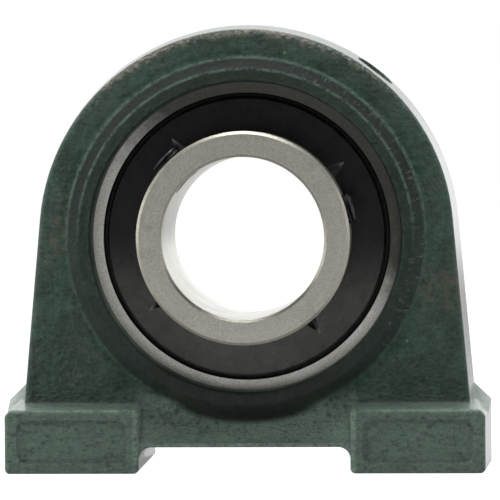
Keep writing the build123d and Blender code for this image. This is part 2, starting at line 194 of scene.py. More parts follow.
def noise(tree, where, scale, detail=2.0, roughness=0.5):
    """Cloudy grey value at a place in mm; 1 / scale is the size of a cloud in mm."""
    node = put(tree, "TexNoise", {"Vector": where, "Scale": scale, "Detail": detail,
                                  "Roughness": roughness})
    return node.outputs["Fac"]


print("mask helpers ready")

# %% [markdown]
# Patterns sit on the piece's own Object coordinates, so they ride with it. Generated
# coordinates would ride too, but they stretch with the piece's box, and a cast grain has
# a real size. Most patterns follow the bearing's own shape: how far from the shaft,
# which way round, and how far along.


# %% Helpers: places and directions
def place_mm(tree):
    """The piece's own coordinates in millimetres."""
    here = put(tree, "TexCoord").outputs["Object"]
    return put(tree, "VectorMath", {0: here, 3: 1 / MM}, operation="SCALE").outputs[0]


def split(tree, vector):
    """The X, Y and Z parts of a vector."""
    return put(tree, "SeparateXYZ", {0: vector}).outputs


def from_shaft(tree, place):
    """Distance from the shaft axis, the turn about it in radians, and the Y coordinate."""
    xyz = split(tree, place)
    flat = put(tree, "CombineXYZ", {0: xyz["X"], 1: xyz["Z"], 2: 0.0}).outputs[0]
    radius = put(tree, "VectorMath", {0: flat}, operation="LENGTH").outputs["Value"]
    turn = maths(tree, "ARCTAN2", xyz["Z"], xyz["X"])
    return radius, turn, xyz["Y"]


def normal_part(tree, axis):
    """How far the surface faces along one axis, from -1 to 1."""
    return split(tree, put(tree, "NewGeometry").outputs["Normal"])[axis]


print("place helpers ready")

# %% [markdown]
# Effects with a name of their own are node groups, so that a finish only places them.
#
# Cast skin: sand leaves a pebbled surface. Plain noise would look like crumpled paper,
# so rounded grains come from a smooth Voronoi distance, larger swells from noise, and a
# few pits where sand fell away from a second Voronoi.


# %% Group: cast skin
cast_skin, given, result = new_group(
    "cast_skin",
    [("Place", "Vector", None), ("Grain", "Float", 1.1), ("Swell", "Float", 9.0)],
    [("Height", "Float"), ("Pits", "Float")])
warp = put(cast_skin, "TexNoise", {"Vector": given["Place"], "Scale": 0.45, "Detail": 2.0})
bent = put(cast_skin, "VectorMath", {0: warp.outputs["Color"], 1: given["Place"]}, operation="ADD")
per_grain = maths(cast_skin, "DIVIDE", 1.0, given["Grain"])
per_swell = maths(cast_skin, "DIVIDE", 1.0, given["Swell"])
grains = put(cast_skin, "TexVoronoi",
             {"Vector": bent.outputs[0], "Scale": per_grain, "Smoothness": 0.6, "Randomness": 1.0},
             feature="SMOOTH_F1")
fine = noise(cast_skin, given["Place"], product(cast_skin, per_grain, 2.3), 3.0, 0.6)
swells = noise(cast_skin, given["Place"], per_swell, 3.0)
low = ramp(cast_skin, grains.outputs["Distance"], 0.1, 0.75, 1.0, 0.0)
height = maths(cast_skin, "ADD", product(cast_skin, low, 0.5), fine)
height = maths(cast_skin, "ADD", height, product(cast_skin, swells, 2.4))
cast_skin.links.new(height, result["Height"])
holes = put(cast_skin, "TexVoronoi", {"Vector": given["Place"], "Scale": 0.22}, feature="F1")
pits = ramp(cast_skin, holes.outputs["Distance"], 0.10, 0.17, 1.0, 0.0)
cast_skin.links.new(pits, result["Pits"])
print("group", cast_skin.name)

# %% [markdown]
# Edge wear and highlight: an edge is where the surface bends away sharply. Pointiness
# would find it too, but only where the mesh is fine. A Bevel node gives the normal that a
# rounded edge would have, so its angle to the true normal marks the edge on any mesh.
# Noise breaks the mark up, because handling rubs some stretches and misses others. The
# same mask also lays painted highlights along edges.


# %% Group: edge wear and painted highlight
edge_wear_and_highlight, given, result = new_group(
    "edge_wear_and_highlight",
    [("Place", "Vector", None), ("Radius", "Float", 0.0006), ("Patch", "Float", 6.0),
     ("Amount", "Float", 0.5)],
    [("Mask", "Float")])
rounded = put(edge_wear_and_highlight, "Bevel", {"Radius": given["Radius"]}, samples=4)
true = put(edge_wear_and_highlight, "NewGeometry").outputs["Normal"]
same = put(edge_wear_and_highlight, "VectorMath", {0: rounded.outputs[0], 1: true}, operation="DOT_PRODUCT")
bend = maths(edge_wear_and_highlight, "SUBTRACT", 1.0, same.outputs["Value"])
per_patch = maths(edge_wear_and_highlight, "DIVIDE", 1.0, given["Patch"])
patches = noise(edge_wear_and_highlight, given["Place"], per_patch, 5.0, 0.65)
reach = maths(edge_wear_and_highlight, "SUBTRACT", 1.0, given["Amount"])
chosen = ramp(edge_wear_and_highlight, patches, maths(edge_wear_and_highlight, "SUBTRACT", reach, 0.06),
              maths(edge_wear_and_highlight, "ADD", reach, 0.06))
edge_wear_and_highlight.links.new(product(edge_wear_and_highlight, ramp(edge_wear_and_highlight, bend, 0.01, 0.09), chosen), result["Mask"])
print("group", edge_wear_and_highlight.name)

# %% [markdown]
# Turning marks: a lathe or grinding wheel leaves fine rings round the shaft axis. A
# wave texture would space them too evenly. Noise in one dimension is read along the
# radius and Y only, with a slow drift round the turn, so the lines stay rings.


# %% Group: turning marks
turning, given, result = new_group(
    "turning_marks",
    [("Place", "Vector", None), ("Pitch", "Float", 0.12)],
    [("Height", "Float"), ("Tone", "Float")])
radius, _, along = from_shaft(turning, given["Place"])
drift = noise(turning, given["Place"], 0.08)
per_line = maths(turning, "DIVIDE", 1.0, given["Pitch"])
across = maths(turning, "ADD", radius, product(turning, along, 1.618))
across = maths(turning, "ADD", across, product(turning, drift, 0.15))
lines = put(turning, "TexNoise", {"W": product(turning, across, per_line), "Scale": 1.0,
                                  "Detail": 4.0, "Roughness": 0.7}, noise_dimensions="1D")
bands = put(turning, "TexNoise", {"W": product(turning, across, product(turning, per_line, 0.12)),
                                  "Scale": 1.0, "Detail": 2.0}, noise_dimensions="1D")
turning.links.new(lines.outputs["Fac"], result["Height"])
tone = maths(turning, "ADD", product(turning, lines.outputs["Fac"], 0.5),
             product(turning, bands.outputs["Fac"], 0.5))
turning.links.new(tone, result["Tone"])
print("group", turning.name)

# %% [markdown]
# Scuffs: short pale scratches where a coat was rubbed. They could be drawn one by one,
# but stretched noise that is cut at its crests gives as many as needed, and a second,
# larger noise decides where they gather.


# %% Group: scuffs
scuffs, given, result = new_group(
    "scuffs",
    [("Place", "Vector", None), ("Size", "Float", 1.0), ("Amount", "Float", 0.4)],
    [("Mask", "Float")])
stretched = put(scuffs, "Mapping", {"Vector": given["Place"], "Rotation": (0.3, 0.9, 0.2),
                                    "Scale": (0.35, 1.0, 1.6)}, vector_type="TEXTURE")
per_size = maths(scuffs, "DIVIDE", 1.0, given["Size"])
marks = put(scuffs, "TexNoise", {"Vector": stretched.outputs[0], "Scale": per_size,
                                 "Detail": 6.0, "Roughness": 0.7, "Distortion": 0.4})
where = noise(scuffs, given["Place"], 0.11)
level = maths(scuffs, "SUBTRACT", 0.86, product(scuffs, given["Amount"], 0.4))
seen = maths(scuffs, "ADD", marks.outputs["Fac"], product(scuffs, where, 0.35))
scuffs.links.new(ramp(scuffs, seen, level, maths(scuffs, "ADD", level, 0.08)), result["Mask"])
print("group", scuffs.name)

# %% [markdown]
# The casting's enamel: one thin dark green coat, sprayed over the cast skin. It could be
# a single colour with a bump, but whatever faces up, the feet and the bridge between
# them are paler: partly dust, partly painted light from above and from the floor. So the
# colour is built up in layers: the paint, then that paler colour by height and by the
# way the surface faces.


# %% Casting: paint, dust and painted light
painted, tree, skin = new_material("painted_casting")
place = place_mm(tree)
radius, turn, along = from_shaft(tree, place)
xyz = split(tree, place)
facing_up = normal_part(tree, "Z")
cast = use_group(tree, cast_skin, {"Place": place, "Grain": 1.05, "Swell": 7.0})
slow = noise(tree, place, 0.06, 4.0)
quick = noise(tree, place, 0.55, 6.0, 0.75)

PAINT_DARK, PAINT_LIGHT = (0.0280, 0.0640, 0.0460, 1), (0.0360, 0.0770, 0.0550, 1)
DUST_AND_LIGHT, SHELF_DUST_AND_LIGHT = (0.120, 0.174, 0.134, 1), (0.150, 0.215, 0.172, 1)
FEET_PALER_Z = (-36.0, -46.0)              # heights over which the feet turn paler, with dust and painted light
SHELF = (-34.0, -38.0)                  # and on whatever faces up there
BRIDGE_HALF = 27.0                      # the bridge runs this far each way from the middle
BRIDGE_PALER_Z = (-36.5, -43.0)            # heights over which it turns paler, with dust and painted light

green = blend_colour(tree, ramp(tree, slow, 0.35, 0.65), PAINT_DARK, PAINT_LIGHT)
slope = product(tree, ramp(tree, facing_up, 0.15, 0.75), ramp(tree, xyz["Z"], 40.0, 20.0))
low_down = ramp(tree, xyz["Z"], *FEET_PALER_Z)
bridge = product(tree, within(tree, xyz["X"], -BRIDGE_HALF, BRIDGE_HALF, 1.0),
                 ramp(tree, xyz["Z"], *BRIDGE_PALER_Z))
# Painted light mixed with dust: upward faces, the feet and the bridge are paler, as light from above and from the
# floor would make them.
dust_and_light = largest(tree, product(tree, slope, 0.8), bridge, product(tree, low_down, 0.60))
green = blend_colour(tree, dust_and_light, green, DUST_AND_LIGHT)
# Painted light mixed with dust: upward faces low down, such as the tops of the feet, are paler still.
shelf = product(tree, ramp(tree, facing_up, 0.5, 0.8), ramp(tree, xyz["Z"], *SHELF))
green = blend_colour(tree, largest(tree, product(tree, shelf, 0.8), bridge), green, SHELF_DUST_AND_LIGHT)
print("paint and dust laid")

# %% [markdown]
# Paint on sand-cast iron is dark where the grain holds grime and pale on its crests,
# where it is thin, so the next layers follow the same grain as the bump. The edges are
# paler still: partly rubbed paint, partly a painted highlight along them.


# %% Casting: grain in the colour
HOLLOW_SHADE, PATCH_SHADE = (0.36, 0.42, 0.40, 1), (0.50, 0.62, 0.56, 1)
GLINT, CREST = (0.034, 0.048, 0.041, 1), (0.050, 0.070, 0.058, 1)
RUBBED_AND_LIT_EDGE = (0.140, 0.170, 0.150, 1)

flat_grain = put(tree, "Mapping", {"Vector": place, "Scale": (1.7, 1.0, 0.8)},
                 vector_type="TEXTURE").outputs[0]
mottle = noise(tree, flat_grain, 0.95, 6.0, 0.85)
green = blend_colour(tree, ramp(tree, mottle, 0.50, 0.38), green, tinted(tree, green, HOLLOW_SHADE))
green = blend_colour(tree, ramp(tree, mottle, 0.54, 0.68), green, tinted(tree, green, GLINT, "ADD"))
patchy = noise(tree, place, 0.16, 5.0, 0.7)
grimy = product(tree, ramp(tree, patchy, 0.56, 0.42), maths(tree, "SUBTRACT", 1.0, low_down))
green = blend_colour(tree, grimy, green, tinted(tree, green, PATCH_SHADE))
crest = product(tree, ramp(tree, cast["Height"], 1.75, 2.35), ramp(tree, quick, 0.42, 0.66))
green = blend_colour(tree, crest, green, CREST)
# Painted highlight mixed with wear: the edges, convex and hollow, are paler.
worn_and_lit_edge = use_group(tree, edge_wear_and_highlight, {"Place": place, "Radius": 0.0011, "Patch": 1.6, "Amount": 0.50})
green = blend_colour(tree, product(tree, worn_and_lit_edge["Mask"], 0.75), green, RUBBED_AND_LIT_EDGE)
print("grain coloured")

# %% [markdown]
# Handling has chipped flakes off the top edge of the arch and left a brown streak on
# the right, a brown patch on the left and a few rust-coloured specks anywhere. Noise
# alone would scatter marks evenly, so the first three are regions at the front of the
# casting, given by radius, turn and height, and noise only breaks them up.


# %% Casting: marks of handling
BROWN, CHIPPED, RUST = (0.105, 0.092, 0.072, 1), (0.24, 0.235, 0.215, 1), (0.20, 0.155, 0.10, 1)

FRONT = (-11.0, -12.0)                  # Y over which the front begins
RIM, CROWN = (49.0, 51.0), (26.0, 46.0)   # radii and heights over which the top edge begins
STREAK_TURN, STREAK_X = (-0.33, -0.20), (41.0, 44.0)   # radians, and where it begins
PATCH_R, PATCH_Z = (44.6, 48.6), (-3.0, 8.0)

front = ramp(tree, along, *FRONT)
top_edge = product(tree, front, ramp(tree, radius, *RIM), ramp(tree, xyz["Z"], *CROWN))
streak = product(tree, front, within(tree, turn, *STREAK_TURN, 0.06),
                 ramp(tree, xyz["X"], *STREAK_X))
patch = product(tree, front, within(tree, radius, *PATCH_R, 1.0),
                within(tree, xyz["Z"], *PATCH_Z, 3.0), maths(tree, "LESS_THAN", xyz["X"], 0.0))
broken = maths(tree, "ADD", quick, product(tree, slow, 0.3))
flakes = product(tree, top_edge, ramp(tree, broken, 0.58, 0.68))
rubs = product(tree, largest(tree, streak, patch), ramp(tree, quick, 0.40, 0.62), 0.6)
stray = product(tree, ramp(tree, slow, 0.60, 0.68), ramp(tree, quick, 0.50, 0.60), 0.45)
brown = largest(tree, product(tree, flakes, 0.85), rubs, stray)
colour = blend_colour(tree, brown, green, BROWN)
colour = blend_colour(tree, product(tree, flakes, ramp(tree, mottle, 0.44, 0.60)), colour, CHIPPED)
specks = put(tree, "TexVoronoi", {"Vector": place, "Scale": 0.30}, feature="F1")
few = ramp(tree, put(tree, "SeparateColor", {0: specks.outputs["Color"]}).outputs[0], 0.93, 0.94)
dots = product(tree, ramp(tree, specks.outputs["Distance"], 0.10, 0.15, 1.0, 0.0), few, 0.6)
colour = blend_colour(tree, dots, colour, RUST)
print("marks placed")

# %% [markdown]
# The boss is the raised ring round the seat, with a sloping outside. It could share the
# casting's colour, but oil from the bearing holds the dirt there, so it is darker than
# the rest. Towards the bottom it is near black, and the dark reaches further out there. A
# painted highlight runs along the crest of the slope and another along its foot, the
# upper slope between them is darkened as painted shade, and the facing tool left radial
# chips on the right. All of these are bands of radius, so they stay round.


# %% Casting: the boss
FACE_Y = 15.4                           # the front and rear faces lie beyond this
BOSS_END = (45.5, 44.0)                 # radii over which the dark colour ends, inwards
LOW_REACH, LOW_REACH_Z = 1.4, (-40.5, -44.5)        # how far the boss's bands reach further out low down, and at which heights
SLOPE_R = (42.4, 43.8)                  # the painted shade on the slope
CREST_R, TOE_R = (41.6, 41.9), (44.6, 44.9)   # the painted highlights on its crest and foot
CHIPS_R, CHIPS_TURN = (41.4, 44.2), (-0.5, 1.1)
BOSS_BLACK_BELOW, OIL_GREEN = (0.0080, 0.0080, 0.0070, 1), (0.0100, 0.0140, 0.0115, 1)
SLOPE_SHADE, BOSS_HIGHLIGHT = (0.0060, 0.0085, 0.0070, 1), (0.090, 0.145, 0.115, 1)
TOOL_CHIP = (0.105, 0.115, 0.105, 1)

on_face = maths(tree, "GREATER_THAN", maths(tree, "ABSOLUTE", along), FACE_Y)
radius_less_reach = maths(tree, "SUBTRACT", radius, ramp(tree, xyz["Z"], *LOW_REACH_Z, 0.0, LOW_REACH))
boss = product(tree, ramp(tree, radius_less_reach, *BOSS_END), on_face)
flank = ramp(tree, maths(tree, "ABSOLUTE", xyz["X"]), 8.0, 34.0, 0.0, 0.60)
below = maths(tree, "SUBTRACT", ramp(tree, xyz["Z"], -2.0, -24.0, 0.35, 1.0), flank)
colour = blend_colour(tree, product(tree, boss, largest(tree, below, 0.0), 0.85), colour, BOSS_BLACK_BELOW)
colour = blend_colour(tree, product(tree, boss, 0.62), colour, OIL_GREEN)

# Painted shade: the upper part of the slope is darker.
slope_top = product(tree, within(tree, radius, *SLOPE_R, 0.5), on_face,
                    ramp(tree, xyz["Z"], -4.0, 16.0))
colour = blend_colour(tree, product(tree, slope_top, 0.70), colour, SLOPE_SHADE)
# Painted highlights: light lines along the crest and the foot of the slope, strongest in the upper half.
crest_highlight = product(tree, within(tree, radius, *CREST_R, 0.35),
                     ramp(tree, xyz["Z"], -6.0, 14.0))
foot_highlight = product(tree, within(tree, radius_less_reach, *TOE_R, 0.45),
                    ramp(tree, xyz["Z"], -6.0, 14.0, 0.40, 1.0))
boss_highlights = product(tree, largest(tree, crest_highlight, foot_highlight), on_face,
                     ramp(tree, quick, 0.38, 0.56), 0.8)
colour = blend_colour(tree, boss_highlights, colour, BOSS_HIGHLIGHT)

spokes = put(tree, "CombineXYZ", {0: product(tree, turn, 46.0), 1: product(tree, radius, 0.35),
                                  2: 0.0}).outputs[0]
chatter = ramp(tree, noise(tree, spokes, 1.0, 4.0, 0.7), 0.55, 0.66)
chips = product(tree, boss, within(tree, radius, *CHIPS_R, 0.4),
                within(tree, turn, *CHIPS_TURN, 0.35), chatter)
colour = blend_colour(tree, product(tree, chips, 0.8), colour, TOOL_CHIP)
print("boss darkened")

# %% [markdown]
# The seat, the soles and the tapped holes are machined after painting, so they are bare
# grey iron with turning marks. They could be faces with a second material slot, but the
# casting's mesh isn't touched here. One mask, 1 on those places, swaps colour, relief
# and metal together.


# %% Casting: machined places
SEAT_R, SEAT_HALF = 40.1, 11.05         # radius and half width that hold the whole seat
BOLT_CLEAR = BOLT_R + 1.25              # radius that holds a tapped hole and its chamfer
BOLT_TOP = (-30.0, -34.0)               # heights over which the tapped holes end
SKIM = 0.03                             # how much above the base still counts as sole
IRON_DARK, IRON_LIGHT = (0.13, 0.125, 0.115, 1), (0.24, 0.235, 0.22, 1)
PIT = (0.006, 0.008, 0.007, 1)

seat = product(tree, maths(tree, "LESS_THAN", radius, SEAT_R),
               maths(tree, "LESS_THAN", maths(tree, "ABSOLUTE", along), SEAT_HALF))
sole = maths(tree, "LESS_THAN", xyz["Z"], BASE_Z + SKIM)
beside_bolt = maths(tree, "SUBTRACT", maths(tree, "ABSOLUTE", xyz["X"]), BOLT_X)
from_bolt = put(tree, "CombineXYZ", {0: beside_bolt, 1: xyz["Y"], 2: 0.0}).outputs[0]
off_bolt = put(tree, "VectorMath", {0: from_bolt}, operation="LENGTH").outputs["Value"]
tapped = product(tree, maths(tree, "LESS_THAN", off_bolt, BOLT_CLEAR),
                 ramp(tree, xyz["Z"], *BOLT_TOP))
bare = largest(tree, seat, sole, tapped)
lathe = use_group(tree, turning, {"Place": place, "Pitch": 0.25})
iron = blend_colour(tree, lathe["Tone"], IRON_DARK, IRON_LIGHT)
relief = blend_colour(tree, bare, cast["Height"], product(tree, lathe["Height"], 0.15))
colour = blend_colour(tree, product(tree, cast["Pits"], 0.40), colour, PIT)
colour = blend_colour(tree, bare, colour, iron)
print("machined places bared")

# %% [markdown]
# The shine could be one roughness for all the paint. On the real casting the grain of
# the front and rear faces breaks the gloss up, and oily dirt dulls the boss. The side
# walls alone keep a glossy outer coat, because their paint lies in one smooth sheet, and
# dust on the crown of the arch takes some of it away. The coat follows the rounded edge
# but not the grain, as a thick clear film would.


# %% Casting: shine and relief
DIRT_END = (47.6, 46.4)                 # radii over which the boss's dirt ends, inwards
WALL_FROM = (49.0, 50.0)                # radii over which the side walls begin

dull = maths(tree, "ADD", ramp(tree, quick, 0.3, 0.7, 0.44, 0.56), product(tree, brown, 0.2))
dull = maths(tree, "ADD", dull, product(tree, ramp(tree, radius, *DIRT_END), on_face, 0.25))
side_wall = product(tree, ramp(tree, maths(tree, "ABSOLUTE", normal_part(tree, "Y")), 0.35, 0.15),
                    ramp(tree, radius, *WALL_FROM))
clean = ramp(tree, facing_up, 0.30, 0.85, 1.0, 0.58)
coat = product(tree, side_wall, maths(tree, "SUBTRACT", 1.0, bare), clean)
soft = put(tree, "Bevel", {"Radius": 0.0008}, samples=6).outputs[0]
bump = put(tree, "Bump", {"Height": relief, "Distance": 0.00034, "Strength": 1.0, "Normal": soft})
feed(tree, skin, {"Base Color": colour, "Roughness": dull, "Metallic": product(tree, bare, 0.85),
                  "Specular IOR Level": 0.36, "Coat Weight": coat, "Coat Roughness": 0.20,
                  "Coat Normal": soft, "Normal": bump.outputs[0]})
print("material", painted.name)

# %% [markdown]
# The rings are through-hardened bearing steel, ground all over. A picture of brushed
# metal would show its tiles on a shape this round. Here ground steel is metal with a
# middling roughness and the turning marks, darkened by faint stains and a few flecks.


# %% Rings: ground steel
ring_steel, tree, skin = new_material("ring_steel")
place = place_mm(tree)
radius, turn, _ = from_shaft(tree, place)
lathe = use_group(tree, turning, {"Place": place, "Pitch": 0.16})
stain = noise(tree, place, 0.12, 5.0, 0.6)
flecks = noise(tree, place, 1.1, 5.0, 0.75)

STEEL_DARK, STEEL_LIGHT = (0.47, 0.462, 0.415, 1), (0.63, 0.622, 0.565, 1)
STAIN, FLECK = (0.25, 0.215, 0.165, 1), (0.05, 0.045, 0.04, 1)

colour = blend_colour(tree, lathe["Tone"], STEEL_DARK, STEEL_LIGHT)
colour = blend_colour(tree, ramp(tree, stain, 0.5, 0.72, 0.0, 0.4), colour, STAIN)
colour = blend_colour(tree, ramp(tree, flecks, 0.66, 0.72, 0.0, 0.7), colour, FLECK)
print("steel ground")

# %% [markdown]
# The outer ring is the cleaner one, but its upper right is darkened by a painted shadow
# of the boss's wall, and the mouth that the slinger runs in is painted black as shade.
# The inner ring's chamfers are only turned, not ground, so they are darker, and its bore
# is wiped bright. Two materials could do this, but one ring steel with masks by radius
# keeps the stains alike.


# %% Rings: painted shadow and shade, and chamfers
OUTER_FROM = 34.0                       # the outer ring lies beyond this radius
MOUTH_END = (36.05, 35.85)              # its mouth ends between these, inwards
BORE_END = (SHAFT_R + 0.12, SHAFT_R + 0.06)   # and the inner ring's bore, inwards
RING_SHADOW_TURN = 1.05                         # the middle of the painted shadow, in radians
CLEAN, RING_SHADOW, MOUTH_SHADE = (0.90, 0.89, 0.86, 1), (0.060, 0.060, 0.050, 1), (0.012, 0.012, 0.011, 1)
SPECK_SHADE, TURNED_SHADE = (0.76, 0.75, 0.72, 1), (0.62, 0.61, 0.58, 1)
WIPED = (0.66, 0.66, 0.64, 1)

outer = ramp(tree, radius, OUTER_FROM, OUTER_FROM + 0.1)
colour = blend_colour(tree, product(tree, outer, 0.75), colour, CLEAN)
toward = maths(tree, "COSINE", maths(tree, "SUBTRACT", turn, RING_SHADOW_TURN))
ragged = product(tree, maths(tree, "SUBTRACT", stain, 0.5), 0.9)
# Painted shadow: the upper right of the outer ring is darkened, as by the boss's wall.
shadow_mask = product(tree, outer, ramp(tree, maths(tree, "ADD", toward, ragged), -0.15, 0.50))
colour = blend_colour(tree, product(tree, shadow_mask, 0.92), colour, RING_SHADOW)
# Painted shade: the mouth of the outer ring is black, as the gap there lies in shade.
mouth = product(tree, outer, ramp(tree, radius, *MOUTH_END))
colour = blend_colour(tree, mouth, colour, MOUTH_SHADE)
speckle = ramp(tree, noise(tree, place, 3.1, 4.0, 0.8), 0.56, 0.42)
colour = blend_colour(tree, speckle, colour, tinted(tree, colour, SPECK_SHADE))
tilt = maths(tree, "ABSOLUTE", normal_part(tree, "Y"))
chamfer = product(tree, within(tree, tilt, 0.40, 0.88, 0.06),
                  ramp(tree, radius, OUTER_FROM, OUTER_FROM - 0.1))
colour = blend_colour(tree, chamfer, colour, tinted(tree, colour, TURNED_SHADE))
in_bore = ramp(tree, radius, *BORE_END)
colour = blend_colour(tree, product(tree, in_bore, 0.6), colour, WIPED)
print("oil and grime laid")

# %% [markdown]
# The turning marks could be real grooves, but a hundredth of a millimetre is far below
# any mesh, so they are a bump, a fifth as deep in the bore. A narrow bevel catches the
# light along the ground edges, which the solids leave knife sharp.


# %% Rings: shine and relief
ground = ramp(tree, radius, SHAFT_R + 0.3, SHAFT_R + 0.8, 0.2, 1.0)
dull = ramp(tree, stain, 0.3, 0.7, 0.40, 0.48)
soft = put(tree, "Bevel", {"Radius": 0.00015}, samples=4).outputs[0]
bump = put(tree, "Bump", {"Height": product(tree, lathe["Height"], ground), "Distance": 0.00001,
                          "Strength": 0.8, "Normal": soft})
feed(tree, skin, {"Base Color": colour, "Metallic": 1.0, "Normal": bump.outputs[0],
                  "Roughness": maths(tree, "SUBTRACT", dull, product(tree, in_bore, 0.03))})
print("material", ring_steel.name)

# %% [markdown]
# The slingers are pressed washers with a baked black coat. Plain black would look like
# a hole, and what shows their shape is a paler lower half, partly dust and partly painted
# light from the floor, where hands and tools have also rubbed it. The dents that stake a
# slinger to its ring are found by their tilt. They are painted black as shade, with a
# painted highlight along their edges and at the tip.


# %% Slingers: black coat
COAT_DARK, COAT_LIGHT = (0.0024, 0.0024, 0.0027, 1), (0.0042, 0.0042, 0.0042, 1)
LOWER_DUST_AND_LIGHT, RUBBED = (0.072, 0.071, 0.068, 1), (0.16, 0.155, 0.15, 1)
DENT_SHADE, DENT_TIP_HIGHLIGHT = (0.0025, 0.0025, 0.0027, 1), (0.26, 0.255, 0.245, 1)
DENT_EDGE_HIGHLIGHT = (0.30, 0.295, 0.28, 1)
STAKED, DENT_EDGE_R, TIP_AT_R = (26.0, 33.0), (27.2, 33.4), (28.4, 30.6)   # bands of radius
LOWER_Z = (1.0, -20.0)                   # heights over which it turns paler, with dust and painted light

black, tree, skin = new_material("black_slinger")
place = place_mm(tree)
radius = from_shaft(tree, place)[0]
lathe = use_group(tree, turning, {"Place": place, "Pitch": 0.5})
cloud = noise(tree, place, 0.25, 5.0)
lower = ramp(tree, split(tree, place)["Z"], *LOWER_Z, 0.03, 1.0)
colour = blend_colour(tree, ramp(tree, cloud, 0.3, 0.7), COAT_DARK, COAT_LIGHT)
# Painted light mixed with dust: the lower half is paler.
lower_dust_and_light = product(tree, lower, ramp(tree, cloud, 0.30, 0.70, 0.72, 1.0))
colour = blend_colour(tree, lower_dust_and_light, colour, LOWER_DUST_AND_LIGHT)
scratched = use_group(tree, scuffs, {"Place": place, "Size": 1.1, "Amount": 0.24})["Mask"]
colour = blend_colour(tree, product(tree, scratched, lower, 0.7), colour, RUBBED)

worn_and_lit_edge = use_group(tree, edge_wear_and_highlight, {"Place": place, "Radius": 0.0006, "Patch": 1.0, "Amount": 0.80})
# Painted highlight along the edges of the dents.
dent_edge_highlight = product(tree, worn_and_lit_edge["Mask"], within(tree, radius, *DENT_EDGE_R, 0.2), 0.9)
colour = blend_colour(tree, dent_edge_highlight, colour, DENT_EDGE_HIGHLIGHT)
tilt = maths(tree, "ABSOLUTE", normal_part(tree, "Y"))
# Painted shade in the dents, and below it a painted highlight at their tips.
dent = product(tree, ramp(tree, tilt, 0.990, 0.965), within(tree, radius, *STAKED, 0.2))
colour = blend_colour(tree, dent, colour, DENT_SHADE)
dent_tip_highlight = product(tree, dent, ramp(tree, radius, *TIP_AT_R), 0.75)
colour = blend_colour(tree, dent_tip_highlight, colour, DENT_TIP_HIGHLIGHT)

soft = put(tree, "Bevel", {"Radius": 0.00012}, samples=4).outputs[0]
bump = put(tree, "Bump", {"Height": lathe["Height"], "Distance": 0.00001,
                          "Strength": 0.5, "Normal": soft})
feed(tree, skin, {"Base Color": colour, "Specular IOR Level": 0.32, "Normal": bump.outputs[0],
                  "Roughness": ramp(tree, cloud, 0.3, 0.7, 0.24, 0.34)})
print("material", black.name)

# %% [markdown]
# The pieces inside: balls are lapped until they mirror, the cage is pressed from bright
# sheet, the seal cores are coated black, which makes them no metal to the eye, the seal
# lips are black rubber, and the set screws are blackened alloy steel. A last finish is
# for the threads cut in the casting: bored iron, dark and slightly oily. Each could have
# its own graph, but little of them shows, so one function makes every metal, and only
# the rubber differs.


# %% Balls, sheet steel, screws and rubber
def plain_metal(name, dark, light, smooth, dull, grain_mm, depth, metallic=1.0):
    """One noise drives all: colour dark to light, roughness smooth to dull, and relief."""
    material, tree, skin = new_material(name)
    grain = noise(tree, place_mm(tree), 1 / grain_mm, 5.0, 0.6)
    bump = put(tree, "Bump", {"Height": grain, "Distance": depth, "Strength": 0.6})
    feed(tree, skin, {"Base Color": blend_colour(tree, ramp(tree, grain, 0.3, 0.7), dark, light),
                      "Roughness": ramp(tree, grain, 0.3, 0.7, smooth, dull),
                      "Metallic": metallic, "Normal": bump.outputs[0]})
    return material


ball_steel = plain_metal("ball_steel", (0.55, 0.55, 0.55, 1), (0.66, 0.66, 0.66, 1),
                         0.06, 0.12, 3.0, 0.000002)
cage_steel = plain_metal("cage_steel", (0.36, 0.34, 0.30, 1), (0.52, 0.50, 0.46, 1),
                         0.30, 0.45, 1.2, 0.00001)
seal_steel = plain_metal("seal_steel", (0.004, 0.004, 0.004, 1), (0.009, 0.009, 0.009, 1),
                         0.55, 0.7, 1.5, 0.00001, metallic=0.0)
screw_steel = plain_metal("screw_steel", (0.026, 0.026, 0.029, 1), (0.060, 0.060, 0.064, 1),
                          0.38, 0.52, 0.8, 0.00001)
bored_iron = plain_metal("bored_iron", (0.11, 0.105, 0.095, 1), (0.20, 0.195, 0.18, 1),
                         0.34, 0.5, 0.9, 0.00001)

rubber, tree, skin = new_material("seal_rubber")
grain = noise(tree, place_mm(tree), 1.5, 6.0, 0.7)
bump = put(tree, "Bump", {"Height": grain, "Distance": 0.00002, "Strength": 0.6})
colour = blend_colour(tree, grain, (0.010, 0.010, 0.010, 1), (0.026, 0.026, 0.026, 1))
feed(tree, skin, {"Base Color": colour, "Roughness": ramp(tree, grain, 0.3, 0.7, 0.5, 0.7),
                  "Normal": bump.outputs[0]})
print("six more materials")

# %% [markdown]
# Screw threads: in the solids they are plain bars and bores, because a modelled thread
# has thousands of faces. A bump would show a thread too, but its outline stays smooth.
# Here they are meshes, each one grid of points: rows along the thread's axis, columns
# round it, and quads between neighbours.


# %% Helpers for meshes
def link_mesh(name, points, faces, material, body):
    """A mesh object in metres from points in millimetres, riding on a body."""
    mesh = bpy.data.meshes.new(name)
    mesh.from_pydata((points.reshape(-1, 3) * MM).tolist(), [], faces)
    shell = bmesh.new()
    shell.from_mesh(mesh)
    bmesh.ops.recalc_face_normals(shell, faces=shell.faces)
    shell.to_mesh(mesh)
    shell.free()
    mesh.materials.append(material)
    thing = bpy.data.objects.new(name, mesh)
    bpy.context.scene.collection.objects.link(thing)
    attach(thing, body)
    print(name, len(mesh.polygons), "faces")
    return thing


def tube_faces(rows, columns):
    """Quads between neighbouring rows of a grid whose columns close on themselves."""
    row, column = np.meshgrid(np.arange(rows - 1), np.arange(columns), indexing="ij")
    beside = (column + 1) % columns
    corners = [row * columns + column, row * columns + beside,
               (row + 1) * columns + beside, (row + 1) * columns + column]
    return np.stack(corners, axis=-1).reshape(-1, 4).tolist()


